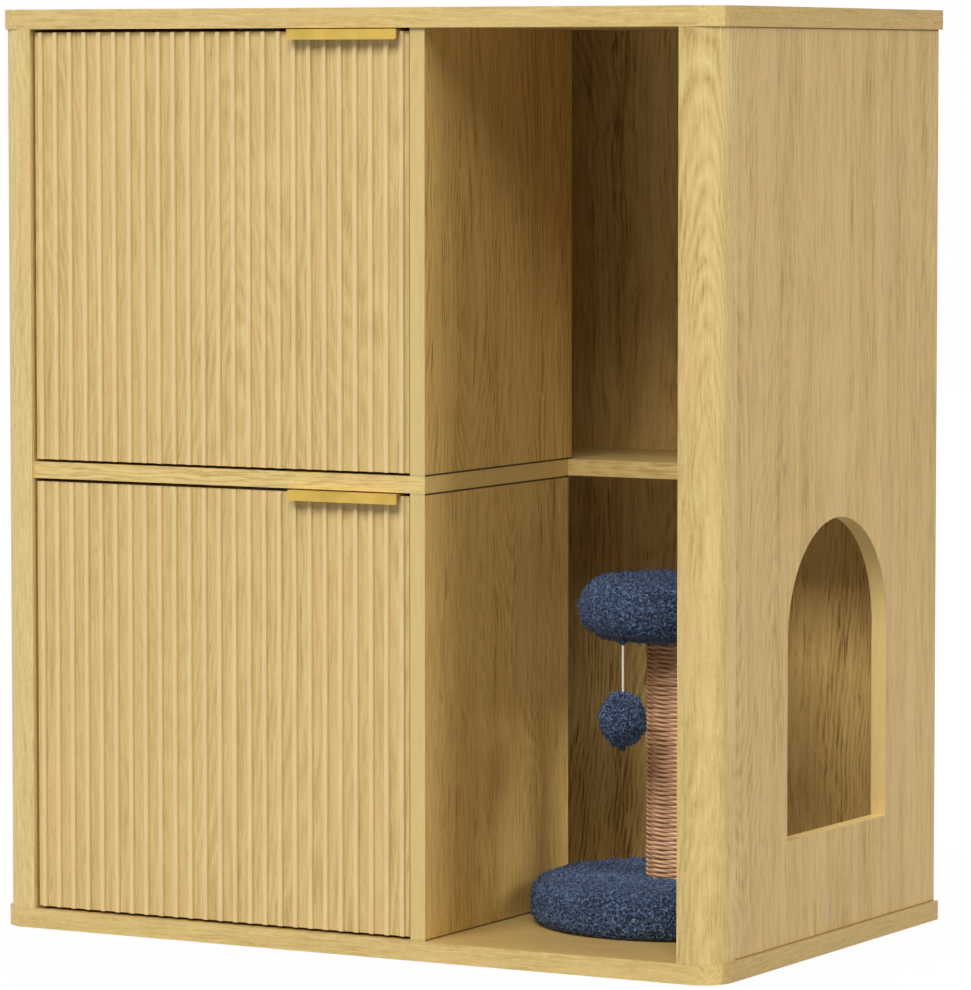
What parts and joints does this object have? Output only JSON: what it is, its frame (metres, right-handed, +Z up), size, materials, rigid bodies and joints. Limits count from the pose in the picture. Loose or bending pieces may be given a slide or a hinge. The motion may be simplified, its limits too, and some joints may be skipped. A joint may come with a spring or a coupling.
{
  "type": "cat litter box cabinet",
  "caption": "Free-standing wooden litter box cabinet: ribbed hinged doors on the left, open bay with a scratching post and hanging ball, arched cat entrance in the right side.",
  "frame": {"origin": "on the floor, under the middle of the cabinet's overall width and depth", "axes": "+Z up, +X to the cabinet's right seen from its front, +Y to its back"},
  "size_m": [0.75, 0.463, 0.85],
  "materials": {
    "oak_panel": "oak wood grain, satin",
    "oak_door": "ribbed oak wood grain, satin",
    "brass": "satin gold",
    "steel": "zinc plated",
    "nickel": "nickel plated",
    "zinc": "die cast zinc",
    "grey_plastic": "moulded",
    "magnet": "nickel plated magnet",
    "beech": "raw beech",
    "plywood": "raw board",
    "foam": "soft foam",
    "plush": "short curly pile",
    "fibre_tube": "wound paper tube",
    "sisal": "twisted sisal rope",
    "string": "braided string",
    "ball_plush": "short curly pile"
  },
  "bodies": {
    "carcass": {"bottom_panel": "oak_panel", "top_panel": "oak_panel", "left_post": "oak_panel", "right_post": "oak_panel", "left_side_board": "oak_panel", "right_side_board": "oak_panel", "back_panel": "oak_panel", "middle_shelf": "oak_panel", "upper_partition": "oak_panel", "lower_partition": "oak_panel", "upper_hinge_batten": "oak_panel", "lower_hinge_batten": "oak_panel", "wood_dowels": "beech", "cam_nuts": "zinc", "cam_bolts": "steel", "back_panel_screws": "steel", "batten_screws": "steel", "hinge_plates": "nickel", "hinge_plate_screws": "nickel", "hinge_arms": "nickel", "hinge_arm_screws": "nickel", "hinge_pins": "nickel", "catch_cases": "grey_plastic", "catch_magnets": "magnet", "catch_screws": "steel", "post_bolts": "steel", "base_board": "plywood", "base_foam": "foam", "base_plush": "plush", "core_tube": "fibre_tube", "core_end_plugs": "beech", "sisal_rope": "sisal", "platform_board": "plywood", "platform_foam": "foam", "platform_plush": "plush", "string_tie": "string"},
    "upper_door_leaf": {"upper_door": "oak_door", "upper_hinge_cups": "nickel", "upper_cup_screws": "nickel", "upper_handle": "brass", "upper_handle_screws": "brass", "upper_strike_plate": "steel", "upper_strike_screws": "steel"},
    "lower_door_leaf": {"lower_door": "oak_door", "lower_hinge_cups": "nickel", "lower_cup_screws": "nickel", "lower_handle": "brass", "lower_handle_screws": "brass", "lower_strike_plate": "steel", "lower_strike_screws": "steel"},
    "upper_links": {"upper_hinge_links": "nickel"},
    "lower_links": {"lower_hinge_links": "nickel"},
    "hanging_toy": {"toy_string": "string", "toy_ball": "ball_plush", "toy_knot": "string"}
  },
  "joints": [
    {"name": "upper_door_swing", "type": "hinge", "parent": "carcass", "child": "upper_door_leaf", "pos_m": [-0.3252, -0.2185, 0.6328], "axis": [0, 0, -1], "range_deg": [0, 100]},
    {"name": "upper_link_swing", "type": "hinge", "parent": "carcass", "child": "upper_links", "pos_m": [-0.326, -0.1985, 0.6328], "axis": [0, 0, -1], "range_deg": [0, 50]},
    {"name": "lower_door_swing", "type": "hinge", "parent": "carcass", "child": "lower_door_leaf", "pos_m": [-0.3252, -0.2185, 0.2183], "axis": [0, 0, -1], "range_deg": [0, 100]},
    {"name": "lower_link_swing", "type": "hinge", "parent": "carcass", "child": "lower_links", "pos_m": [-0.326, -0.1985, 0.2183], "axis": [0, 0, -1], "range_deg": [0, 50]},
    {"name": "toy_sway", "type": "hinge", "parent": "carcass", "child": "hanging_toy", "pos_m": [0.205, -0.0805, 0.28], "axis": [1, 0, 0], "range_deg": [-45, 18]}
  ],
  "couplings": [
    {"joint": "upper_link_swing", "follows": "upper_door_swing", "ratio": 0.5},
    {"joint": "lower_link_swing", "follows": "lower_door_swing", "ratio": 0.5}
  ]
}
